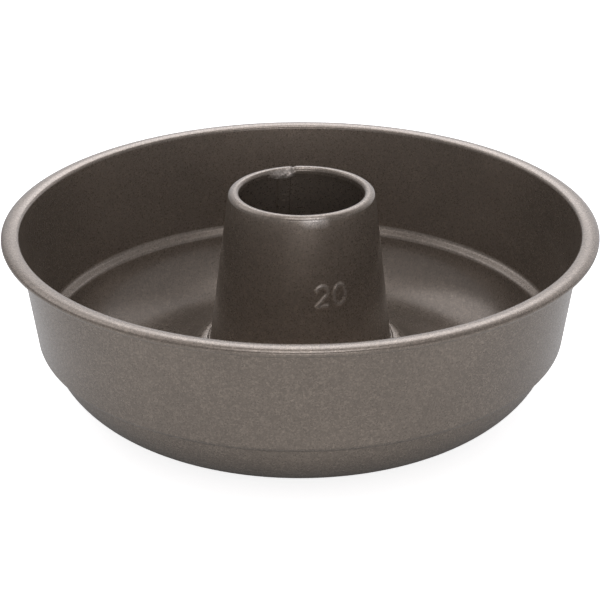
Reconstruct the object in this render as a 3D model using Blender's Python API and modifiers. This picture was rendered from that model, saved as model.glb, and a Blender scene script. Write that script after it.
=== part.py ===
"""Ring mould: a pressed steel pan with a clamped centre tube, for ring cakes of 20 cm.

Two pieces of sheet steel. The pan is one pressing: a rolled rim, a tapered wall with a small step, a rounded
trough to bake in and, in the middle, a raised land with a hole. The tube is a second sheet, rolled to a cone,
closed by a flat lock seam, turned in at the top and clamped in the pan's hole by a bead above the land and a
flange below it.

The origin lies on the axis, in the plane that the pan stands on. +Z is up and the seam is at the back, +Y.
"""
import math

import bmesh
import bpy
from mathutils import Matrix

MM = 0.001

# Sheet and fit, in millimetres
SHEET = 0.6                  # thickness of the steel sheet with its coating
FIT_GAP = 0.3                # clearance between the two pieces where they meet

# Pan: sizes are those of the face that touches the cake
MOUTH_RADIUS = 100.0         # a 20 cm mould: the wall's inner face, carried on to the middle of the roll
RIM_HEIGHT = 65.0            # from the standing plane to the top of the rim
MOUTH_ROUND = 4.0            # rounding between the wall and the flat top of the rim
ROLL_WIDTH = 6.4             # how far the rim reaches outwards from the wall's inner face
ROLL_RADIUS = 1.65           # the rim's outer edge is rolled to this radius
ROLL_PAST = 55.0             # degrees that the roll turns past its outermost point, to its cut edge
UPPER_TAPER = 7.2            # degrees between the upper wall and the vertical
STEP_TOP = 23.9              # height of the step's outer corner, before its rounding
STEP_DROP = 1.6              # how much lower its inner corner lies
STEP_INSET = 3.4             # how far the step narrows the wall
STEP_ROUND = 2.2             # rounding of both corners, which makes the step a soft S
LOWER_TAPER = 14.4           # degrees between the lower wall and the vertical
TROUGH_ROUND = 26.0          # rounding between the lower wall and the flat ring it stands on
RISE_ANGLE = 50.0            # degrees between the trough's inner slope and the floor
RISE_ROUND = 22.0            # rounding between the flat ring and the inner slope
CROWN_ROUND = 3.9            # rounding between the inner slope and the land
LAND_HEIGHT = 16.0           # height of the land that carries the tube
LAND_MARGIN = 1.8            # flat land left outside the tube's bead

# Tube: sizes are those of its outer face
NECK_RADIUS = 33.4           # where the tube passes through the pan's hole
TUBE_HEIGHT = 75.5           # from the standing plane to the top of the lip
TOP_RADIUS = 26.2            # the cone, carried on to the height of the lip
LIP_HOLE_RADIUS = 22.8       # the opening inside the turned-in lip
HEM_ROUND = 1.45             # rounding of the lip's inner edge
HEM_DEPTH = 2.6              # how far the turned-in edge hangs down inside the tube
LIP_ROUND = 1.8              # rounding between the lip's flat top and its sloping shoulder
SHOULDER_RADIUS = 25.1       # where the flat top and the shoulder would meet without that rounding
SHOULDER_DROP = 1.4          # height that the shoulder takes up
SHOULDER_ROUND = 3.3         # rounding between the shoulder and the cone
BEAD_PROUD = 1.2             # how far the bead stands out from the neck
BEAD_HEIGHT = 1.6            # thickness of the folded bead
BEAD_CREASE = 0.25           # rounding of the creases beside the bead and the flange
FLANGE_REACH = 2.4           # how far the clamping flange spreads under the land

# Lock seam inside the tube
SEAM_WIDTH = 5.1             # width of the flattened seam
SEAM_PROUD = 0.55            # how far it stands inside the tube's wall
SEAM_BED = 0.35              # depth that its back lies in the wall
SEAM_ANGLE = 14.0            # degrees from the back, towards the left
SEAM_TOP_GAP = 4.0           # from the lip's top down to the end of the seam
SEAM_FOOT_GAP = 1.5          # from the bead up to the end of the seam

# Facets
PAN_STEPS = 64
TUBE_STEPS = 48
MOUTH_FACETS = 5             # over the rounding between the wall and the rim's flat top
ROLL_FACETS = 4              # from the flat top to the rim's outermost point
EDGE_FACETS = 3              # from there to its cut edge


def clear_scene():
    """Remove every object, so that the script can run twice in one file."""
    for item in list(bpy.data.objects):
        bpy.data.objects.remove(item, do_unlink=True)


def collection(name):
    """Make a collection in the scene."""
    made = bpy.data.collections.new(name)
    bpy.context.scene.collection.children.link(made)
    return made


def coated_steel(name, colour, roughness):
    """A Principled material for the bronze grey coating."""
    material = bpy.data.materials.new(name)
    material.use_nodes = True
    shader = material.node_tree.nodes["Principled BSDF"]
    shader.inputs["Base Color"].default_value = (*colour, 1.0)
    shader.inputs["Roughness"].default_value = roughness
    shader.inputs["Metallic"].default_value = 0.6
    return material


def side_length(first, second):
    """Length of the straight side between two corners."""
    return math.hypot(second[0] - first[0], second[1] - first[1])


def direction(start, end):
    """Unit vector from one corner to another."""
    length = side_length(start, end)
    return ((end[0] - start[0]) / length, (end[1] - start[1]) / length)


def corner_arc(corner, towards_before, towards_after, half, tangent, facets):
    """Points of the arc that touches both sides of a corner at the tangent length from it."""
    r, z = corner[0], corner[1]
    radius = tangent * math.tan(half)
    middle = (towards_before[0] + towards_after[0], towards_before[1] + towards_after[1])
    reach = radius / math.sin(half) / math.hypot(*middle)
    centre = (r + middle[0] * reach, z + middle[1] * reach)
    start = math.atan2(z + towards_before[1] * tangent - centre[1], r + towards_before[0] * tangent - centre[0])
    end = math.atan2(z + towards_after[1] * tangent - centre[1], r + towards_after[0] * tangent - centre[0])
    sweep = (end - start + math.pi) % (2 * math.pi) - math.pi
    turns = [start + sweep * step / facets for step in range(facets + 1)]
    return [(centre[0] + radius * math.cos(turn), centre[1] + radius * math.sin(turn)) for turn in turns]


def rounded(corners):
    """Turn (r, z, rounding, facets) corners into points, with an arc where a corner has a rounding.

    Where two arcs would meet on one side, both are limited to what that side holds.
    """
    halves = [0.0] * len(corners)
    tangents = [0.0] * len(corners)
    for index in range(1, len(corners) - 1):
        u = direction(corners[index], corners[index - 1])
        v = direction(corners[index], corners[index + 1])
        halves[index] = math.acos(max(-1.0, min(1.0, u[0] * v[0] + u[1] * v[1]))) / 2
        tangents[index] = corners[index][2] / math.tan(halves[index])
    shares = [1.0] * len(corners)
    for index in range(len(corners) - 1):
        needed = tangents[index] + tangents[index + 1]
        if needed > 0:
            share = 0.98 * side_length(corners[index], corners[index + 1]) / needed
            shares[index] = min(shares[index], share)
            shares[index + 1] = min(shares[index + 1], share)
    points = []
    for index, corner in enumerate(corners):
        if tangents[index] == 0.0:
            points.append((corner[0], corner[1]))
            continue
        u = direction(corner, corners[index - 1])
        v = direction(corner, corners[index + 1])
        points += corner_arc(corner, u, v, halves[index], tangents[index] * shares[index], corner[3])
    return points


def roll_points():
    """The rolled outer edge of the rim, from its flat top to the cut edge."""
    centre_r = MOUTH_RADIUS + ROLL_WIDTH - ROLL_RADIUS
    centre_z = RIM_HEIGHT - ROLL_RADIUS
    over = [90 - 90 * step / ROLL_FACETS for step in range(ROLL_FACETS)]
    under = [-ROLL_PAST * step / EDGE_FACETS for step in range(EDGE_FACETS + 1)]
    points = []
    for degrees in over + under:
        angle = math.radians(degrees)
        points.append((centre_r + ROLL_RADIUS * math.cos(angle), centre_z + ROLL_RADIUS * math.sin(angle)))
    return points


def pan_profile():
    """The pan's upper face, from the hole in the land outwards and up to the rim's cut edge."""
    hole_radius = NECK_RADIUS + FIT_GAP
    crown_tangent = CROWN_ROUND * math.tan(math.radians(RISE_ANGLE / 2))
    crown_corner = NECK_RADIUS + BEAD_PROUD + LAND_MARGIN + crown_tangent
    floor_corner = crown_corner + (LAND_HEIGHT - SHEET) / math.tan(math.radians(RISE_ANGLE))
    taper = math.tan(math.radians(UPPER_TAPER))
    wall_foot_radius = MOUTH_RADIUS - (RIM_HEIGHT - ROLL_RADIUS - STEP_TOP) * taper
    step_foot_radius = wall_foot_radius - STEP_INSET
    step_foot_height = STEP_TOP - STEP_DROP
    trough_corner = step_foot_radius - (step_foot_height - SHEET) * math.tan(math.radians(LOWER_TAPER))
    corners = [
        (hole_radius, LAND_HEIGHT, 0, 0),
        (crown_corner, LAND_HEIGHT, CROWN_ROUND, 3),
        (floor_corner, SHEET, RISE_ROUND, 5),
        (trough_corner, SHEET, TROUGH_ROUND, 9),
        (step_foot_radius, step_foot_height, STEP_ROUND, 3),
        (wall_foot_radius, STEP_TOP, STEP_ROUND, 3),
        (MOUTH_RADIUS + ROLL_RADIUS * taper, RIM_HEIGHT, MOUTH_ROUND, MOUTH_FACETS),
        (*roll_points()[0], 0, 0),
    ]
    return rounded(corners)[:-1] + roll_points()


def bead_bottom():
    """Height of the bead's underside, just above the land."""
    return LAND_HEIGHT + FIT_GAP


def bead_top():
    """Height of the bead's upper face."""
    return bead_bottom() + BEAD_HEIGHT


def cone_radius(height):
    """Radius of the tube's outer face at a height, from the top of the bead to the lip."""
    share = (height - bead_top()) / (TUBE_HEIGHT - bead_top())
    return NECK_RADIUS + (TOP_RADIUS - NECK_RADIUS) * share


def tube_profile():
    """The tube's outer face, from its hem over the lip and down to the flange's edge."""
    flange_top = LAND_HEIGHT - SHEET - FIT_GAP
    bead_radius = NECK_RADIUS + BEAD_PROUD
    nose_round = BEAD_HEIGHT / 2
    corners = [
        (LIP_HOLE_RADIUS, TUBE_HEIGHT - HEM_DEPTH, 0, 0),
        (LIP_HOLE_RADIUS, TUBE_HEIGHT, HEM_ROUND, 4),
        (SHOULDER_RADIUS, TUBE_HEIGHT, LIP_ROUND, 3),
        (cone_radius(TUBE_HEIGHT - SHOULDER_DROP), TUBE_HEIGHT - SHOULDER_DROP, SHOULDER_ROUND, 3),
        (NECK_RADIUS, bead_top(), BEAD_CREASE, 2),
        (bead_radius, bead_top(), nose_round, 3),
        (bead_radius, bead_bottom(), nose_round, 3),
        (NECK_RADIUS, bead_bottom(), BEAD_CREASE, 2),
        (NECK_RADIUS, flange_top, BEAD_CREASE, 2),
        (NECK_RADIUS + FLANGE_REACH, flange_top, 0, 0),
    ]
    return rounded(corners)


def turned_sheet(name, profile, steps, seat_height, material, home):
    """Turn the profile of a sheet's exposed face about the axis and give the sheet its thickness."""
    mesh = bpy.data.meshes.new(name)
    builder = bmesh.new()
    ring = [builder.verts.new((r * MM, 0.0, (z - seat_height) * MM)) for r, z in profile]
    for first, second in zip(ring, ring[1:]):
        builder.edges.new((first, second))
    builder.to_mesh(mesh)
    builder.free()
    mesh.materials.append(material)
    piece = bpy.data.objects.new(name, mesh)
    piece.location = (0.0, 0.0, seat_height * MM)
    home.objects.link(piece)

    turn = piece.modifiers.new("turn", "SCREW")
    turn.angle = 2 * math.pi
    turn.steps = steps
    turn.render_steps = steps
    turn.use_merge_vertices = True
    turn.merge_threshold = 0.01 * MM
    turn.use_smooth_shade = True

    sheet = piece.modifiers.new("sheet", "SOLIDIFY")
    sheet.thickness = SHEET * MM
    sheet.offset = -1.0
    sheet.use_even_offset = True
    return piece


def seam_strip(home):
    """The flattened lock seam: a strip along the inside of the cone, sunk a little into its wall."""
    foot = bead_top() + SEAM_FOOT_GAP
    top = TUBE_HEIGHT - SEAM_TOP_GAP
    lean = math.atan2(cone_radius(foot) - cone_radius(top), top - foot)
    length = (top - foot) / math.cos(lean)
    depth = SEAM_PROUD + SEAM_BED
    # the strip's outer face lies this far inside the cone's outer face
    back = (SHEET - SEAM_BED) / math.cos(lean)
    middle_radius = (cone_radius(foot) + cone_radius(top)) / 2 - back - depth / 2 / math.cos(lean)
    mesh = bpy.data.meshes.new("lock_seam")
    builder = bmesh.new()
    bmesh.ops.create_cube(builder, size=1.0)
    bmesh.ops.scale(builder, vec=(SEAM_WIDTH * MM, depth * MM, length * MM), verts=builder.verts)
    place = (
        Matrix.Rotation(math.radians(SEAM_ANGLE), 4, "Z")
        @ Matrix.Translation((0.0, middle_radius * MM, (foot + top) / 2 * MM))
        @ Matrix.Rotation(lean, 4, "X")
    )
    bmesh.ops.transform(builder, matrix=place, verts=builder.verts)
    builder.to_mesh(mesh)
    builder.free()
    strip = bpy.data.objects.new("lock_seam", mesh)
    strip.hide_render = True
    strip.display_type = "WIRE"
    home.objects.link(strip)
    return strip


def build():
    """Make the pan and the tube."""
    clear_scene()
    parts = collection("ring_mould")
    helpers = collection("helpers")
    pan_coating = coated_steel("pan_coating", (0.095, 0.078, 0.066), 0.42)
    tube_coating = coated_steel("tube_coating", (0.085, 0.069, 0.058), 0.44)
    turned_sheet("pan", pan_profile(), PAN_STEPS, 0.0, pan_coating, parts)
    tube = turned_sheet("tube", tube_profile(), TUBE_STEPS, LAND_HEIGHT, tube_coating, parts)
    join = tube.modifiers.new("lock_seam", "BOOLEAN")
    join.operation = "UNION"
    join.solver = "EXACT"
    join.object = seam_strip(helpers)


build()
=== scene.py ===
# %% [markdown]
# # Ring mould
# A pressed steel mould for ring cakes, coated in a bronze grey non-stick finish with a fine metallic
# speckle. The real one is two pieces of sheet: a round pan with a rolled rim, and a conical tube that
# is clamped in a hole in the middle of the pan. This lesson turns both from short profiles, gives the
# sheet its thickness, presses a plain size number into the tube, coats everything and lights it in a
# white studio.

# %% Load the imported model
import math

import bmesh
import bpy
from mathutils import Matrix, Vector
from mathutils.kdtree import KDTree


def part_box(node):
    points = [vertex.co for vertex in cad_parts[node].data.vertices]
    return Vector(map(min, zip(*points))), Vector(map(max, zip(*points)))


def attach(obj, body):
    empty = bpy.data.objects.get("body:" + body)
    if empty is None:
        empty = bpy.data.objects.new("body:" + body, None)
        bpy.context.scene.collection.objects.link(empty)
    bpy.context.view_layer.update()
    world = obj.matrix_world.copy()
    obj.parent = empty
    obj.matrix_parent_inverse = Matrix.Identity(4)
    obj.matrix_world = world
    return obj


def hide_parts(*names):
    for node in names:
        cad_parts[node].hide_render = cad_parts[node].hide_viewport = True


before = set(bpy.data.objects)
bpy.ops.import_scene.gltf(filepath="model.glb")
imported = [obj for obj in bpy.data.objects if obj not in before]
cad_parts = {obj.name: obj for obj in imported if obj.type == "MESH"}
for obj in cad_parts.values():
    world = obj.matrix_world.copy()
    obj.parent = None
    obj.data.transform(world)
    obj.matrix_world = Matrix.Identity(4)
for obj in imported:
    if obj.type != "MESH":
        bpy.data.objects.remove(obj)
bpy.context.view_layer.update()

# %% [markdown]
# ## Sizes
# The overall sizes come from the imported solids, so the finished mould keeps to them. The mould's other
# sizes are lengths in millimetres and angles in degrees, as a toolmaker would write them on the press
# drawing, and each stands where it is first needed. Both pieces share the thickness of the sheet, the
# play in the clamped joint, the height of the raised land in the pan, the radius of the tube at its
# foot, and how far the tube's flange and bead reach from there.

# %% Sizes from the solids
MM = 0.001
pan_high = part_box("pan")[1]
tube_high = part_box("tube")[1]
RIM_RADIUS = pan_high.x / MM
RIM_HEIGHT = pan_high.z / MM
TUBE_HEIGHT = tube_high.z / MM
FLANGE_RADIUS = tube_high.x / MM
print("rim radius", round(RIM_RADIUS, 2), "height", round(RIM_HEIGHT, 2), "tube", round(TUBE_HEIGHT, 2))

# %% Sizes that both pieces share
SHEET = 0.6
FIT_GAP = 0.3
LAND_HEIGHT = 16.0
FLANGE_REACH = 2.4
BEAD_PROUD = 1.2
NECK_RADIUS = FLANGE_RADIUS - FLANGE_REACH
print("neck radius", round(NECK_RADIUS, 2))

# %% [markdown]
# ## Profiles
# A pressed or spun sheet is round everywhere. It could start as a cylinder with many loops, but a
# profile that is turned about the axis keeps every radius and height as one value. So each piece
# starts as a thin line: one vertex for each corner of the profile, joined by edges, in the plane
# y = 0. Corners are rounded with a vertex bevel. An arc of radius r touches both sides of a corner at
# r / tan(half its angle) from it, which is the offset that the bevel takes.

# %% Profile helpers
MERGE_WITHIN = 0.001


def profile_line(corners):
    """A bmesh with one vertex for each (radius, height) corner and edges between them."""
    made = bmesh.new()
    line = [made.verts.new((radius * MM, 0.0, height * MM)) for radius, height in corners]
    for first, second in zip(line, line[1:]):
        made.edges.new((first, second))
    return made, line


def round_corner(made, corner, radius, segments):
    """Round one corner of a profile line with an arc."""
    sides = [edge.other_vert(corner).co - corner.co for edge in corner.link_edges]
    half_angle = sides[0].angle(sides[1]) / 2
    bmesh.ops.bevel(
        made, geom=[corner], offset=radius * MM / math.tan(half_angle), offset_type="OFFSET",
        segments=segments, profile=0.5, affect="VERTICES", clamp_overlap=False, material=-1,
    )


def turn_profile(made, steps):
    """Turn a profile line once about the axis and close it."""
    bmesh.ops.spin(
        made, geom=made.verts[:] + made.edges[:], cent=(0, 0, 0), axis=(0, 0, 1), dvec=(0, 0, 0),
        angle=2 * math.pi, steps=steps, use_merge=True, use_duplicate=False,
    )
    bmesh.ops.remove_doubles(made, verts=made.verts[:], dist=MERGE_WITHIN * MM)
    bmesh.ops.recalc_face_normals(made, faces=made.faces[:])


# %% [markdown]
# ## Pan
# The pan is one pressing. Its profile runs over the face that touches the cake: from the hole in the
# raised land, down the inner slope, through the rounded trough, up the lower wall and over the small
# step to the foot of the upper wall. Tapers are measured from upright, and the slope's angle from
# level. The corners are rounded once the rim above them is there, because a rounding needs both of
# its sides.

# %% Pan profile
ROLL_WIDTH = 6.4
ROLL_RADIUS = 1.65
UPPER_TAPER = 7.2
STEP_TOP = 23.9
STEP_DROP = 1.6
STEP_INSET = 3.4
LOWER_TAPER = 14.4
RISE_ANGLE = 50.0
CROWN_ROUND = 3.9
LAND_MARGIN = 1.8

crown_reach = CROWN_ROUND * math.tan(math.radians(RISE_ANGLE / 2))
crown_corner = NECK_RADIUS + BEAD_PROUD + LAND_MARGIN + crown_reach
floor_corner = crown_corner + (LAND_HEIGHT - SHEET) / math.tan(math.radians(RISE_ANGLE))
wall_top = RIM_HEIGHT - ROLL_RADIUS
mouth_radius = RIM_RADIUS - ROLL_WIDTH
wall_foot_radius = mouth_radius - (wall_top - STEP_TOP) * math.tan(math.radians(UPPER_TAPER))
step_foot_radius = wall_foot_radius - STEP_INSET
step_foot_height = STEP_TOP - STEP_DROP
trough_corner = step_foot_radius - (step_foot_height - SHEET) * math.tan(math.radians(LOWER_TAPER))

pan_mesh, pan_line = profile_line([
    (NECK_RADIUS + FIT_GAP, LAND_HEIGHT),
    (crown_corner, LAND_HEIGHT),
    (floor_corner, SHEET),
    (trough_corner, SHEET),
    (step_foot_radius, step_foot_height),
    (wall_foot_radius, STEP_TOP),
])
print("pan corners", len(pan_line), "mouth radius", round(mouth_radius, 2))

# %% [markdown]
# ## Rolled rim
# The sheet is rolled outwards at the mouth, so that no cut edge is left where the hands hold it. A
# separate torus would leave a crease at the wall, so the rim is part of the same line. Its top is a
# little domed: it falls gently towards the inside and ends in a tight rounding at the wall, while its
# outer side is a flattened quarter circle that curls under. Every part is a vertex spun about the
# middle of its arc, starting at the highest point, and the outer quarter is then scaled down in
# height.

# %% Rolled rim
CREST_INSET = 3.1
CREST_DROP = 1.38
CREST_ROUND = 7.7
CREST_ANGLE = 18.0
MOUTH_ROUND = 1.36
ROLL_PAST = 55.0


def sweep(made, point, middle, degrees, steps):
    """Carry a point along an arc about (radius, height), outwards for positive degrees.

    It gives the arc's last vertex and a list of all its new ones.
    """
    before = set(made.verts)
    swept = bmesh.ops.spin(
        made, geom=[point], cent=(middle[0] * MM, 0.0, middle[1] * MM), axis=(0, 1, 0), dvec=(0, 0, 0),
        angle=math.radians(degrees), steps=steps, use_merge=False, use_duplicate=False,
    )
    return swept["geom_last"][0], [vertex for vertex in made.verts if vertex not in before]


crest_radius = RIM_RADIUS - CREST_INSET
crest_turn = math.radians(CREST_ANGLE)
crest = pan_mesh.verts.new((crest_radius * MM, 0.0, RIM_HEIGHT * MM))
dome_middle = (crest_radius, RIM_HEIGHT - CREST_ROUND)
dome_end = sweep(pan_mesh, crest, dome_middle, -CREST_ANGLE, steps=8)[0]
mouth_middle = (
    crest_radius - (CREST_ROUND - MOUTH_ROUND) * math.sin(crest_turn),
    RIM_HEIGHT - CREST_ROUND + (CREST_ROUND - MOUTH_ROUND) * math.cos(crest_turn),
)
wall_end = sweep(pan_mesh, dome_end, mouth_middle, CREST_ANGLE + UPPER_TAPER - 90, steps=12)[0]
pan_mesh.edges.new((pan_line[-1], wall_end))
outer_end, outer_arc = sweep(pan_mesh, crest, (crest_radius, RIM_HEIGHT - CREST_INSET), 90, steps=16)
bmesh.ops.scale(
    pan_mesh, verts=outer_arc, vec=(1, 1, CREST_DROP / CREST_INSET),
    space=Matrix.Translation((0, 0, -RIM_HEIGHT * MM)),
)
sweep(pan_mesh, outer_end, (RIM_RADIUS - ROLL_RADIUS, RIM_HEIGHT - CREST_DROP), ROLL_PAST, steps=10)
print("wall meets the mouth's rounding at", [round(value / MM, 2) for value in wall_end.co.xz])

# %% Round the pan's corners
RISE_ROUND = 22.0
TROUGH_ROUND = 26.0
STEP_ROUND = 2.2

pan_roundings = [
    (CROWN_ROUND, 8), (RISE_ROUND, 14), (TROUGH_ROUND, 22), (STEP_ROUND, 10), (STEP_ROUND, 10),
]
for corner, (radius, segments) in zip(pan_line[1:], pan_roundings):
    round_corner(pan_mesh, corner, radius, segments)
pan_top = max(vertex.co.z for vertex in pan_mesh.verts)
print("pan profile", len(pan_mesh.verts), "points, highest", round(pan_top / MM, 3))

# %% [markdown]
# ## Turn the pan
# The finished line is turned once about the axis. The profile could hold both faces of the sheet, but
# with a Solidify modifier the mesh stays one thin surface that is easy to shape. A small bevel takes
# the sharpness off the cut edges. The faces have to point at the cake, because the modifier adds the
# thickness behind them.

# %% Helpers for finished pieces
CUT_EDGE_ROUND = 0.18
CUT_EDGE_ANGLE = 50.0


def finish_piece(made, name, node):
    """Make the mesh an object that rides on the mould's body and stands for a solid, if one is named."""
    mesh = bpy.data.meshes.new(name)
    made.to_mesh(mesh)
    made.free()
    mesh.shade_smooth()
    piece = bpy.data.objects.new(name, mesh)
    bpy.context.scene.collection.objects.link(piece)
    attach(piece, "root")
    if node:
        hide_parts(node)
    return piece


def give_sheet(piece, back_material=0):
    """Give an open surface the thickness of the sheet, behind its face, with softened cut edges."""
    wall = piece.modifiers.new("sheet", "SOLIDIFY")
    wall.thickness = SHEET * MM
    wall.offset = -1.0
    wall.use_even_offset = True
    wall.material_offset = back_material
    edges = piece.modifiers.new("cut_edges", "BEVEL")
    edges.width = CUT_EDGE_ROUND * MM
    edges.segments = 2
    edges.limit_method = "ANGLE"
    edges.angle_limit = math.radians(CUT_EDGE_ANGLE)


# %% Turn the pan
PAN_STEPS = 256

turn_profile(pan_mesh, PAN_STEPS)
lowest = min(pan_mesh.faces, key=lambda face: face.calc_center_median().z)
if lowest.normal.z < 0:
    bmesh.ops.reverse_faces(pan_mesh, faces=pan_mesh.faces[:])
pan = finish_piece(pan_mesh, "pan_shell", "pan")
give_sheet(pan)
print("pan faces", len(pan.data.polygons))

# %% [markdown]
# ## Tube
# The tube is a second sheet, rolled to a cone. Its top is turned in to a smooth lip whose edge hangs
# inside, and near its foot a bead lies on the pan's land while a flange under the land holds it from
# below. From the lip's flat top the sheet bends down in two soft steps before it runs into the cone,
# which makes the lip look thick and round. The tube is turned from one line like the pan, and its
# long cone and the hem inside the lip are divided into rows, so that later steps can move them.

# %% Tube profile
TOP_RADIUS = 26.2
LIP_HOLE_RADIUS = 22.4
LIP_EDGE_RADIUS = 24.5
BROW_RADIUS = 25.55
BROW_DROP = 0.34
SHOULDER_DROP = 1.05
HEM_DEPTH = 2.6
BEAD_HEIGHT = 1.6

bead_bottom = LAND_HEIGHT + FIT_GAP
bead_top = bead_bottom + BEAD_HEIGHT
flange_top = LAND_HEIGHT - SHEET - FIT_GAP
shoulder_height = TUBE_HEIGHT - SHOULDER_DROP


def cone_radius(height):
    """Radius of the tube's outer face at a height between the bead and the lip."""
    share = (height - bead_top) / (TUBE_HEIGHT - bead_top)
    return NECK_RADIUS + (TOP_RADIUS - NECK_RADIUS) * share


tube_mesh, tube_line = profile_line([
    (LIP_HOLE_RADIUS, TUBE_HEIGHT - HEM_DEPTH),
    (LIP_HOLE_RADIUS, TUBE_HEIGHT),
    (LIP_EDGE_RADIUS, TUBE_HEIGHT),
    (BROW_RADIUS, TUBE_HEIGHT - BROW_DROP),
    (cone_radius(shoulder_height), shoulder_height),
    (NECK_RADIUS, bead_top),
    (NECK_RADIUS + BEAD_PROUD, bead_top),
    (NECK_RADIUS + BEAD_PROUD, bead_bottom),
    (NECK_RADIUS, bead_bottom),
    (NECK_RADIUS, flange_top),
    (NECK_RADIUS + FLANGE_REACH, flange_top),
])
print("tube corners", len(tube_line), "bead from", round(bead_bottom, 2), "to", round(bead_top, 2))

# %% Round and turn the tube
HEM_ROUND = 1.45
LIP_ROUND = 1.2
BROW_ROUND = 1.9
SHOULDER_ROUND = 1.35
BEAD_CREASE = 0.25
BEAD_FULLNESS = 0.98
CONE_ROW = 1.5
HEM_ROWS = 4
TUBE_STEPS = 360

nose = BEAD_HEIGHT / 2 * BEAD_FULLNESS
tube_roundings = [
    (HEM_ROUND, 8), (LIP_ROUND, 6), (BROW_ROUND, 6), (SHOULDER_ROUND, 8), (BEAD_CREASE, 4),
    (nose, 6), (nose, 6), (BEAD_CREASE, 4), (BEAD_CREASE, 4),
]
for corner, (radius, segments) in zip(tube_line[1:-1], tube_roundings):
    round_corner(tube_mesh, corner, radius, segments)
cone_edge = max(tube_mesh.edges, key=lambda edge: edge.calc_length())
cone_cuts = int(cone_edge.calc_length() / MM / CONE_ROW)
bmesh.ops.subdivide_edges(tube_mesh, edges=[cone_edge], cuts=cone_cuts)
line_ends = [vertex for vertex in tube_mesh.verts if len(vertex.link_edges) == 1]
hem_end = max(line_ends, key=lambda end: end.co.z)
bmesh.ops.subdivide_edges(tube_mesh, edges=hem_end.link_edges[:], cuts=HEM_ROWS)
turn_profile(tube_mesh, TUBE_STEPS)
outward = max(tube_mesh.faces, key=lambda face: face.calc_area())
if outward.normal.dot(outward.calc_center_median() * Vector((1, 1, 0))) < 0:
    bmesh.ops.reverse_faces(tube_mesh, faces=tube_mesh.faces[:])
print("tube faces", len(tube_mesh.faces))

# %% [markdown]
# ## Size number
# The number 20, for 20 cm, is pressed outwards before the sheet is rolled, so its strokes are raised
# and have soft edges. A text object joined by a Boolean would have hard sides. So each digit is a row
# of points along the middle of its stroke, in millimetres to the right of the tube's middle line and
# above the ground. The faces of the tube around the digits are divided finer, and each
# vertex is lifted by how close it is to that row. The tops of the strokes also get a painted
# highlight, a paler tone; its share is kept in a vertex attribute, which the coating reads.

# %% Strokes of the digits
DIGIT_TOP = 50.4
DIGIT_BASE = 43.3
TWO_LEFT = 5.4
TWO_WIDTH = 4.1
TWO_BOW_FROM = 165
TWO_BOW_TO = -35
ZERO_LEFT = 11.8
ZERO_WIDTH = 4.4
DOT_SPACING = 0.1


def arc(middle, half_width, half_height, start, end):
    """Points along part of an ellipse, from one angle in degrees to the other."""
    length = abs(math.radians(end - start)) * max(half_width, half_height)
    steps = max(2, int(length / DOT_SPACING))
    points = []
    for step in range(steps + 1):
        turn = math.radians(start + (end - start) * step / steps)
        points.append(middle + Vector((half_width * math.cos(turn), half_height * math.sin(turn), 0)))
    return points


def straight(first, last):
    """Points along a straight stroke."""
    steps = max(2, int((last - first).length / DOT_SPACING))
    return [first.lerp(last, step / steps) for step in range(steps + 1)]


bow_radius = TWO_WIDTH / 2
bow_middle = Vector((TWO_LEFT + bow_radius, DIGIT_TOP - bow_radius, 0))
two_corner = Vector((TWO_LEFT, DIGIT_BASE, 0))
two = arc(bow_middle, bow_radius, bow_radius, TWO_BOW_FROM, TWO_BOW_TO)
two += straight(two[-1], two_corner)
two += straight(two_corner, two_corner + Vector((TWO_WIDTH, 0, 0)))
zero_middle = Vector((ZERO_LEFT + ZERO_WIDTH / 2, (DIGIT_TOP + DIGIT_BASE) / 2, 0))
zero = arc(zero_middle, ZERO_WIDTH / 2, (DIGIT_TOP - DIGIT_BASE) / 2, 0, 360)
strokes = KDTree(len(two) + len(zero))
for index, point in enumerate(two + zero):
    strokes.insert(point, index)
strokes.balance()
print("points along the strokes", len(two) + len(zero))

# %% Divide the tube around the number
NUMBER_MARGIN = 2
NUMBER_CUTS = 5


def unrolled(point):
    """A point of the tube's front laid flat: to the right of the middle line, and its height."""
    around_axis = math.atan2(point.x, -point.y) * math.hypot(point.x, point.y)
    return Vector((around_axis / MM, point.z / MM, 0))


def level_with_number(flat):
    """Whether an unrolled point is at the height of the digits."""
    return DIGIT_BASE - NUMBER_MARGIN < flat.y < DIGIT_TOP + NUMBER_MARGIN


number_left = TWO_LEFT - NUMBER_MARGIN
number_right = ZERO_LEFT + ZERO_WIDTH + NUMBER_MARGIN
around_number = []
for face in tube_mesh.faces:
    flat = unrolled(face.calc_center_median())
    if number_left < flat.x < number_right and level_with_number(flat) and face.normal.y < 0:
        around_number.append(face)
finer = list(dict.fromkeys(edge for face in around_number for edge in face.edges))
bmesh.ops.subdivide_edges(tube_mesh, edges=finer, cuts=NUMBER_CUTS, use_grid_fill=True)
print("faces divided", len(around_number), "tube faces", len(tube_mesh.faces))

# %% Raise the number
STROKE_FLAT = 0.1
STROKE_EDGE = 1.25
STROKE_LIFT = 0.27
# How strong the painted highlight on the strokes' tops is, and from which share of the lift it starts.
STROKE_HIGHLIGHT = 0.3
HIGHLIGHT_FROM = 0.375


def soft_step(value):
    """0 below 0, 1 above 1 and a smooth S between."""
    held = min(1.0, max(0.0, value))
    return held * held * (3 - 2 * held)


def from_axis(vertex):
    """The direction from the tube's axis to a vertex."""
    return Vector((vertex.co.x, vertex.co.y, 0)).normalized()


# The vertex attribute that holds how much painted highlight, a paler tone, each vertex gets.
painted_highlight = tube_mesh.verts.layers.float.new("painted_highlight")
raised = 0
for vertex in tube_mesh.verts:
    flat = unrolled(vertex.co)
    if vertex.co.y < 0 and level_with_number(flat):
        away = strokes.find(flat)[2]
        lift = soft_step((STROKE_EDGE - away) / (STROKE_EDGE - STROKE_FLAT))
        vertex.co += from_axis(vertex) * STROKE_LIFT * lift * MM
        # Painted highlight: a paler tone on the tops of the strokes.
        vertex[painted_highlight] = STROKE_HIGHLIGHT * soft_step((lift - HIGHLIGHT_FROM) / (1 - HIGHLIGHT_FROM))
        raised += lift > 0
print("vertices raised for the number", raised)
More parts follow.
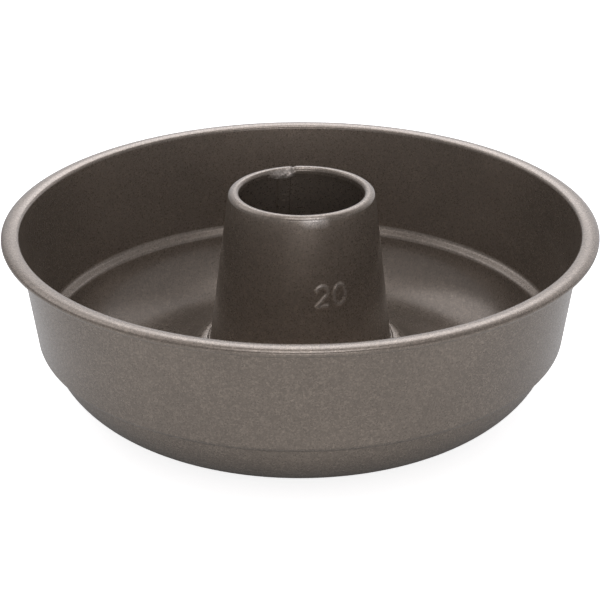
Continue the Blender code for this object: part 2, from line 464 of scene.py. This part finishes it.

# %% [markdown]
# ## Where the tube's sheet ends meet
# The tube is a strip of sheet rolled to a cone, so its two ends meet at a lock seam at the back. In
# the lip the ends lie over each other: a small notch shows in the top edge, and to its left, as seen
# from the front, the folded hem hangs deeper and is uneven where the double sheet did not fold
# cleanly. This hem and a patch on the shoulder at the front get a painted highlight, a paler tone,
# stronger on the hem's lumps. The clamped tube also stands a trace out of plumb. These flaws could be
# sculpted by hand, but smooth functions of each vertex's angle and depth keep their places and sizes
# as values: angles in degrees, depths down from the top.

# %% Sizes of the flaws
LIP_ZONE = 6
INNER_START = LIP_EDGE_RADIUS + 0.2
FLAP_FROM = 4.5
FLAP_RISE = 7
FLAP_TO = 36.0
FLAP_FADE = 14
FLAP_DROP = 0.36
FLAP_BULGE = 0.55
BULGE_DEPTH = 2.2
# The next two set the painted highlight, a paler tone, on the deeper hem: its share and the depth over
# which it comes in.
FLAP_HIGHLIGHT = 0.55
FLAP_HIGHLIGHT_DEPTH = 0.6
LUMP_DEPTH = 0.06
# How much the painted highlight on the hem follows its lumps.
LUMP_HIGHLIGHT = 0.6
LUMP_TURN = 1.1
LUMP_SHIFT = 0.6
LUMP_DOWN = 4.1
LUMP_SLANT = 0.45
NOTCH_AT = 7.4
NOTCH_HALF = 2.4
NOTCH_DEPTH = 0.45
NOTCH_REACH = 3.5
# The patch on the shoulder only places a painted highlight, a paler tone: where it is, how far it
# reaches and how strong it is.
PATCH_AT = 10.0
PATCH_HALF = 14.0
PATCH_HEIGHT = 73.6
PATCH_REACH = 2.0
PATCH_FULL_ACROSS = 1.3
PATCH_FULL_DOWN = 1.2
PATCH_HIGHLIGHT = 1.0
print("flap from", FLAP_FROM, "to", FLAP_TO, "degrees left of the back")


# %% Uneven lip
def hill(value, middle, half, fullness=1):
    """1 at the middle and 0 from half away; a fullness above 1 gives the hill a flat top."""
    return soft_step(fullness * (1 - abs(value - middle) / half))


for vertex in tube_mesh.verts:
    height = vertex.co.z / MM
    if height < TUBE_HEIGHT - LIP_ZONE:
        continue
    radius = math.hypot(vertex.co.x, vertex.co.y) / MM
    outwards = from_axis(vertex)
    left_of_back = math.degrees(math.atan2(-vertex.co.x, vertex.co.y))
    right_of_front = math.degrees(math.atan2(vertex.co.x, -vertex.co.y))
    depth = TUBE_HEIGHT - height
    rise = soft_step((left_of_back - FLAP_FROM) / FLAP_RISE)
    fade = soft_step((FLAP_TO - left_of_back) / FLAP_FADE)
    flap = rise * fade * soft_step(INNER_START - radius)
    along = math.sin(left_of_back * LUMP_TURN + LUMP_SHIFT)
    lump = along * math.sin(depth * LUMP_DOWN + left_of_back * LUMP_SLANT)
    bulge = FLAP_BULGE * soft_step(depth / BULGE_DEPTH) + LUMP_DEPTH * lump
    notch = hill(left_of_back, NOTCH_AT, NOTCH_HALF) * soft_step(1 - depth / NOTCH_REACH)
    vertex.co.z -= (flap * depth * FLAP_DROP + notch * NOTCH_DEPTH) * MM
    vertex.co -= outwards * flap * bulge * MM
    # Painted highlight: a paler tone on the deeper hem, stronger on its lumps.
    vertex[painted_highlight] = flap * soft_step(depth / FLAP_HIGHLIGHT_DEPTH) * FLAP_HIGHLIGHT * (1 + LUMP_HIGHLIGHT * lump)
    # Painted highlight on a patch at the front of the shoulder.
    if radius > LIP_EDGE_RADIUS:
        patch = hill(right_of_front, PATCH_AT, PATCH_HALF, PATCH_FULL_ACROSS)
        patch *= hill(height, PATCH_HEIGHT, PATCH_REACH, PATCH_FULL_DOWN)
        vertex[painted_highlight] = max(vertex[painted_highlight], patch * PATCH_HIGHLIGHT)
print("rubbed vertices", sum(vertex[painted_highlight] > 0 for vertex in tube_mesh.verts))

# %% Lean and finish the tube
LEAN = 0.6


def lean(made):
    """Tilt a piece of the tube to the right, by LEAN at the top, with its foot left in place."""
    for vertex in made.verts:
        share = max(0.0, vertex.co.z / MM - bead_top) / (TUBE_HEIGHT - bead_top)
        vertex.co.x += LEAN * share * MM


lean(tube_mesh)
tube = finish_piece(tube_mesh, "tube_shell", "tube")
give_sheet(tube, back_material=1)
print("tube faces", len(tube.data.polygons))

# %% [markdown]
# ## Lock seam
# Inside the tube the two hooked ends are pressed flat into one strip, with a crease along each side.
# Two small clinch marks stop it from sliding. Cutting it into the tube's mesh would need new edges
# through the lip, so it is a strip of its own: a grid that is bent onto the inside of the cone. Its
# edges dip a little into the wall, so that no gap shows.

# %% Seam strip
SEAM_WIDTH = 5.6
SEAM_PROUD = 0.7
SEAM_EDGE = 0.65
SEAM_SUNK = 0.06
SEAM_ANGLE = 14.3
SEAM_TOP = TUBE_HEIGHT - 4.0
SEAM_FOOT = bead_top + 1.5
SEAM_COLUMNS = 40
SEAM_ROWS = 180
MARK_HEIGHTS = (64.0, 61.6)
MARK_DEPTH = 0.25
MARK_HALF_WIDTH = 1.1
MARK_HALF_HEIGHT = 0.45
MARK_FULLNESS = 1.5


def strip_height(across, height):
    """How far the strip stands out from the tube's inner face."""
    from_edge = SEAM_WIDTH / 2 - abs(across)
    from_end = min(height - SEAM_FOOT, SEAM_TOP - height)
    proud = SEAM_PROUD * soft_step(from_edge / SEAM_EDGE) * soft_step(from_end / SEAM_EDGE) - SEAM_SUNK
    for mark in MARK_HEIGHTS:
        wide = hill(across, 0, MARK_HALF_WIDTH, MARK_FULLNESS)
        proud -= MARK_DEPTH * wide * hill(height, mark, MARK_HALF_HEIGHT)
    return proud


seam_mesh = bmesh.new()
bmesh.ops.create_grid(seam_mesh, x_segments=SEAM_COLUMNS, y_segments=SEAM_ROWS, size=0.5)
for vertex in seam_mesh.verts:
    across = vertex.co.x * SEAM_WIDTH
    height = SEAM_FOOT + (vertex.co.y + 0.5) * (SEAM_TOP - SEAM_FOOT)
    radius = cone_radius(height) - SHEET - strip_height(across, height)
    angle = math.radians(SEAM_ANGLE) + across / radius
    vertex.co = Vector((-math.sin(angle) * radius, math.cos(angle) * radius, height)) * MM
bmesh.ops.recalc_face_normals(seam_mesh, faces=seam_mesh.faces[:])
seam_mesh.faces.ensure_lookup_table()
inward = seam_mesh.faces[len(seam_mesh.faces) // 2]
if inward.normal.y > 0:
    bmesh.ops.reverse_faces(seam_mesh, faces=seam_mesh.faces[:])
lean(seam_mesh)
seam = finish_piece(seam_mesh, "lock_seam", None)
print("seam faces", len(seam.data.polygons))

# %% [markdown]
# ## Coating
# The mould is spray coated: a bronze grey lacquer full of fine metal flakes under a clear non-stick
# film. An image of such a lacquer would need a UV map and would blur close up. Here the flakes are
# cells of a Voronoi texture in the object's own coordinates, so they have the same size everywhere.
# Each cell gets its own tone and polish, which gives the fine sparkle, and a power keeps most cells
# dark and a few bright. A wide soft noise varies the tone where the spray was thicker, and a shallow
# fine noise is the orange peel of the baked film. Where a vertex attribute asks for it, the tone goes
# over to a paler grey: a painted highlight on the number, the deeper hem and the shoulder patch. The
# inside of the tube, which is the back of its sheet, and the seam strip have a lighter copy of the
# coating: painted light inside the tube. The flakes, clouds and relief are one node group, because
# all three materials use them.

# %% Node helpers
def feed(tree, socket, source):
    """Link a socket to another node's output, or set it where the source is a plain value."""
    if isinstance(source, bpy.types.NodeSocket):
        tree.links.new(source, socket)
    else:
        socket.default_value = source


def add_node(tree, kind, inputs=None, **settings):
    """Add a node, set its properties, then feed its inputs, which are given by name or number."""
    node = tree.nodes.new(kind)
    for name, value in settings.items():
        setattr(node, name, value)
    for key, source in (inputs or {}).items():
        feed(tree, node.inputs[key], source)
    return node


def calculate(tree, operation, first, second):
    """The result of a Math node."""
    return add_node(tree, "ShaderNodeMath", {0: first, 1: second}, operation=operation).outputs[0]


def map_range(tree, value, low, high, start=0.0, end=1.0, interpolation="LINEAR"):
    """The result of a Map Range node: low where the value is at start, high where it is at end."""
    inputs = {"Value": value, "From Min": start, "From Max": end, "To Min": low, "To Max": high}
    node = add_node(tree, "ShaderNodeMapRange", inputs, interpolation_type=interpolation)
    return node.outputs["Result"]


def mix(tree, kind, share, first, second):
    """A mix of two values or two colours. The Mix node has its own sockets for each kind."""
    first_socket, second_socket, result = {"FLOAT": (2, 3, 0), "RGBA": (6, 7, 2)}[kind]
    inputs = {0: share, first_socket: first, second_socket: second}
    return add_node(tree, "ShaderNodeMix", inputs, data_type=kind).outputs[result]


# %% Flake lacquer
FLAKE_SIZE = 0.42
FEW_BRIGHT = 2.5
CLOUD_SCALE = 38.0
CLOUD_DETAIL = 3.0
RELIEF_SCALE = 900.0
RELIEF_DETAIL = 2.0


def noise(tree, point, scale, detail):
    """The value of a noise texture at a point."""
    inputs = {"Vector": point, "Scale": scale, "Detail": detail}
    return add_node(tree, "ShaderNodeTexNoise", inputs, noise_dimensions="3D").outputs["Fac"]


def flake_group():
    """Flakes, their polish, cloudy spray and film relief at a point in metres, each from 0 to 1."""
    tree = bpy.data.node_groups.new("flake_lacquer", "ShaderNodeTree")
    tree.interface.new_socket("Point", in_out="INPUT", socket_type="NodeSocketVector")
    size = tree.interface.new_socket("Flake Size", in_out="INPUT", socket_type="NodeSocketFloat")
    size.default_value = FLAKE_SIZE
    for name in ("Flake", "Polish", "Cloud", "Relief"):
        tree.interface.new_socket(name, in_out="OUTPUT", socket_type="NodeSocketFloat")
    given = add_node(tree, "NodeGroupInput")
    point = given.outputs["Point"]
    per_metre = calculate(tree, "DIVIDE", 1 / MM, given.outputs["Flake Size"])
    cells = add_node(
        tree, "ShaderNodeTexVoronoi", {"Vector": point, "Scale": per_metre},
        voronoi_dimensions="3D", feature="F1",
    )
    chance = add_node(tree, "ShaderNodeSeparateColor", {"Color": cells.outputs["Color"]})
    add_node(tree, "NodeGroupOutput", {
        "Flake": calculate(tree, "POWER", chance.outputs["Red"], FEW_BRIGHT),
        "Polish": chance.outputs["Green"],
        "Cloud": noise(tree, point, CLOUD_SCALE, CLOUD_DETAIL),
        "Relief": noise(tree, point, RELIEF_SCALE, RELIEF_DETAIL),
    })
    return tree


lacquer = flake_group()
print("lacquer outputs", [item.name for item in lacquer.interface.items_tree if item.in_out == "OUTPUT"])

# %% Coating
FILM = {"Metallic": 0.615, "Coat Weight": 0.7, "Coat Roughness": 0.18, "Coat IOR": 1.5}
CLOUD_TONES = (0.94, 1.06)
CLOUD_SPAN = (0.3, 0.7)
POLISH_ROUGHNESS = (0.26, 0.4)
DARK_SHARE = 0.75
BRIGHT_SHARE = 2.1
# The paler grey of the painted highlight.
HIGHLIGHT_TONE = (0.58, 0.53, 0.49, 1.0)


def coating(name, base, spread, relief_height):
    """The coating: its base tone, the tone spread of its flakes, and its relief in millimetres."""
    material = bpy.data.materials.new(name)
    material.use_nodes = True
    tree = material.node_tree
    shader = tree.nodes["Principled BSDF"]
    for socket, value in FILM.items():
        shader.inputs[socket].default_value = value
    point = add_node(tree, "ShaderNodeTexCoord").outputs["Object"]
    inputs = {"Point": point, "Flake Size": FLAKE_SIZE}
    flakes = add_node(tree, "ShaderNodeGroup", inputs, node_tree=lacquer).outputs
    cloud = map_range(tree, flakes["Cloud"], *CLOUD_TONES, *CLOUD_SPAN)
    tone = map_range(tree, flakes["Flake"], 1.0 - DARK_SHARE * spread, 1.0 + BRIGHT_SHARE * spread)
    # Painted highlight: where the vertex attribute is set, the tone goes over to the paler grey.
    painted_lighter = add_node(tree, "ShaderNodeAttribute", attribute_name="painted_highlight").outputs["Fac"]
    tone_and_highlight = mix(tree, "RGBA", painted_lighter, (*base, 1.0), HIGHLIGHT_TONE)
    inputs = {0: tone_and_highlight, "Scale": calculate(tree, "MULTIPLY", cloud, tone)}
    colour = add_node(tree, "ShaderNodeVectorMath", inputs, operation="SCALE").outputs["Vector"]
    inputs = {"Height": flakes["Relief"], "Distance": relief_height * MM, "Strength": 1.0}
    bump = add_node(tree, "ShaderNodeBump", inputs).outputs["Normal"]
    feed(tree, shader.inputs["Base Color"], colour)
    feed(tree, shader.inputs["Roughness"], map_range(tree, flakes["Polish"], *POLISH_ROUGHNESS))
    feed(tree, shader.inputs["Normal"], bump)
    return material


# %% Coat the pieces
BRONZE_GREY = (0.226, 0.188, 0.154)
# A lighter copy of the bronze grey: painted light for the inside of the tube and the seam strip.
LIT_INSIDE_TONE = (0.325, 0.272, 0.225)

lit_inside_coating = coating("tube_inside", LIT_INSIDE_TONE, spread=0.13, relief_height=0.01)
pan.data.materials.append(coating("pan_coating", BRONZE_GREY, spread=0.22, relief_height=0.015))
tube.data.materials.append(coating("tube_coating", BRONZE_GREY, spread=0.22, relief_height=0.015))
tube.data.materials.append(lit_inside_coating)
seam.data.materials.append(lit_inside_coating)
print("materials", [slot.name for piece in (pan, tube, seam) for slot in piece.data.materials])

# %% [markdown]
# ## Floor
# The mould stands on a white page. The camera sees the floor bright enough to be white, with only a
# faint shadow at the foot. A floor that is really so bright would light the mould from below and
# flatten it. So for all other rays it is a grey floor with a soft glow that starts under the trough,
# stronger in front of the mould than behind it: the outer wall leans outwards and mirrors exactly
# this part of the floor. Distances on the floor are in metres.

# %% Floor
FLOOR_HALF = 3.0
FLOOR_DROP = 0.0002

floor_mesh = bmesh.new()
bmesh.ops.create_grid(floor_mesh, x_segments=1, y_segments=1, size=FLOOR_HALF)
floor_data = bpy.data.meshes.new("floor")
floor_mesh.to_mesh(floor_data)
floor_mesh.free()
floor = bpy.data.objects.new("floor", floor_data)
floor.location.z = -FLOOR_DROP
bpy.context.scene.collection.objects.link(floor)
print("floor width", 2 * FLOOR_HALF)

# %% Floor material
WHITE = (1.0, 1.0, 1.0, 1.0)
PAPER = {"Roughness": 0.9, "Specular IOR Level": 0.2, "Emission Color": WHITE}
FLOOR_SEEN = 0.9
FLOOR_PAGE = 0.8
FLOOR_BOUNCE = 0.45
GLOW_START = 0.07
GLOW_FULL = 0.115
FRONT_LEVEL = 0.34
FRONT_AT = -0.13
BACK_LEVEL = 0.19
BACK_AT = -0.03

paper = bpy.data.materials.new("floor")
paper.use_nodes = True
tree = paper.node_tree
shader = tree.nodes["Principled BSDF"]
for socket, value in PAPER.items():
    shader.inputs[socket].default_value = value
camera_ray = add_node(tree, "ShaderNodeLightPath").outputs["Is Camera Ray"]
place = add_node(tree, "ShaderNodeTexCoord").outputs["Object"]
from_middle = add_node(tree, "ShaderNodeVectorMath", {0: place}, operation="LENGTH").outputs["Value"]
ring = map_range(tree, from_middle, 0.0, 1.0, GLOW_START, GLOW_FULL, "SMOOTHSTEP")
backwards = add_node(tree, "ShaderNodeSeparateXYZ", {0: place}).outputs["Y"]
level = map_range(tree, backwards, FRONT_LEVEL, BACK_LEVEL, FRONT_AT, BACK_AT, "SMOOTHSTEP")
glow = mix(tree, "FLOAT", camera_ray, calculate(tree, "MULTIPLY", ring, level), FLOOR_PAGE)
feed(tree, shader.inputs["Base Color"], map_range(tree, camera_ray, FLOOR_BOUNCE, FLOOR_SEEN))
feed(tree, shader.inputs["Emission Strength"], glow)
floor.data.materials.append(paper)
print("floor glow in front", FRONT_LEVEL, "and behind", BACK_LEVEL)

# %% [markdown]
# ## Light
# Area lamps would do, but each shines with one strength over its whole face. Soft discs on the world
# fade out at their edges, as softboxes do in rounded metal. A bright disc is behind the mould and
# halfway up, inside a wide weak one, and a weaker one is to its left. The strongest is overhead, and
# one is in front, just above the horizon. The metal mirrors them one after the other, so their places
# decide where it shines: across the rim the light behind gives the white line on the top, the gap
# above it the darker line, and the overhead light the second line. The camera itself sees the world
# as plain white.

# %% World
STUDIO_LEVEL = 0.34
LIGHT_TINT = (1.0, 0.985, 1.015, 1.0)
SOFT_DISCS = [
    {"azimuth": 3.0, "elevation": 41.0, "core": 9.0, "edge": 20.0, "strength": 2.3},
    {"azimuth": 16.0, "elevation": 24.0, "core": 26.0, "edge": 50.0, "strength": 0.55},
    {"azimuth": -52.0, "elevation": 46.0, "core": 11.0, "edge": 23.0, "strength": 1.05},
    {"azimuth": 170.0, "elevation": 84.0, "core": 8.0, "edge": 20.0, "strength": 3.0},
    {"azimuth": 176.0, "elevation": 13.0, "core": 11.0, "edge": 28.0, "strength": 1.45},
]


def soft_disc(tree, direction, azimuth, elevation, core, edge, strength):
    """A disc of light: full inside core degrees of its middle, gone at edge degrees.

    Azimuth 0 is behind the mould and 90 to its right.
    """
    turn = math.radians(azimuth)
    up = math.radians(elevation)
    middle = (math.sin(turn) * math.cos(up), math.cos(turn) * math.cos(up), math.sin(up))
    facing = add_node(tree, "ShaderNodeVectorMath", {0: direction, 1: middle}, operation="DOT_PRODUCT")
    start = math.cos(math.radians(edge))
    end = math.cos(math.radians(core))
    return map_range(tree, facing.outputs["Value"], 0.0, strength, start, end, "SMOOTHSTEP")


world = bpy.data.worlds.new("studio")
bpy.context.scene.world = world
world.use_nodes = True
tree = world.node_tree
direction = add_node(tree, "ShaderNodeTexCoord").outputs["Generated"]
camera_ray = add_node(tree, "ShaderNodeLightPath").outputs["Is Camera Ray"]
light = STUDIO_LEVEL
for disc in SOFT_DISCS:
    light = calculate(tree, "ADD", light, soft_disc(tree, direction, **disc))
background = tree.nodes["Background"]
feed(tree, background.inputs["Strength"], mix(tree, "FLOAT", camera_ray, light, 1.0))
feed(tree, background.inputs["Color"], mix(tree, "RGBA", camera_ray, LIGHT_TINT, WHITE))
print("soft discs", len(SOFT_DISCS))

# %% [markdown]
# ## Camera
# The camera stands in front of the mould and looks down on it by 25 degrees, as in the photograph.
# Its distance, height and focal length come from fitting the circles of the rim, the lip and the step
# to their ellipses in the picture. The focal length is given in pixels of the 600 pixel wide picture.
# The other lengths are in metres, apart from the sensor's millimetres, and the roll is in radians.

# %% Camera
DISTANCE = 0.61924
ELEVATION = math.radians(25.108)
AIM_HEIGHT = 0.03221
EYE_ACROSS = -0.00011
ROLL = 0.00271
FOCAL_PIXELS = 1684.6
PICTURE_WIDTH = 600
SENSOR_WIDTH = 36.0
CLIP_START = 0.01

camera_data = bpy.data.cameras.new("camera")
camera_data.sensor_width = SENSOR_WIDTH
camera_data.lens = FOCAL_PIXELS / PICTURE_WIDTH * SENSOR_WIDTH
camera_data.clip_start = CLIP_START
camera = bpy.data.objects.new("camera", camera_data)
bpy.context.scene.collection.objects.link(camera)
eye_height = AIM_HEIGHT + DISTANCE * math.sin(ELEVATION)
eye = Vector((EYE_ACROSS, -DISTANCE * math.cos(ELEVATION), eye_height))
turn = Matrix.Rotation(math.pi / 2 - ELEVATION, 4, "X") @ Matrix.Rotation(-ROLL, 4, "Z")
camera.matrix_world = Matrix.Translation(eye) @ turn
bpy.context.scene.camera = camera
bpy.context.scene.view_settings.view_transform = "Standard"
print("camera at", [round(value, 4) for value in eye], "lens", round(camera_data.lens, 1))
